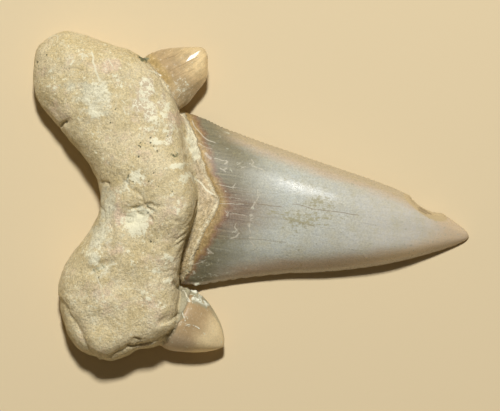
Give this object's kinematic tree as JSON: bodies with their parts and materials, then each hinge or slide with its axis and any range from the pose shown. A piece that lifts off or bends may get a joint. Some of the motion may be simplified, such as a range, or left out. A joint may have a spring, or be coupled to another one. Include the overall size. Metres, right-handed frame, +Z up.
{
  "type": "fossil shark tooth",
  "caption": "Loose fossil tooth lying flat: a rough two-lobed root, a broad smooth pointed crown and a small cusplet on each side of it.",
  "frame": {"origin": "on the resting plane, under the middle of the bounding box", "axes": "+X from the root towards the tip of the crown, +Y towards the upper root lobe, +Z up, out of the convex lingual face"},
  "size_m": [0.0636, 0.048, 0.0121],
  "materials": {
    "fossil_tooth": "matt tan root, glossy grey-lavender crown with brown margins"
  },
  "bodies": {
    "root": {"tooth": "fossil_tooth"}
  },
  "joints": []
}
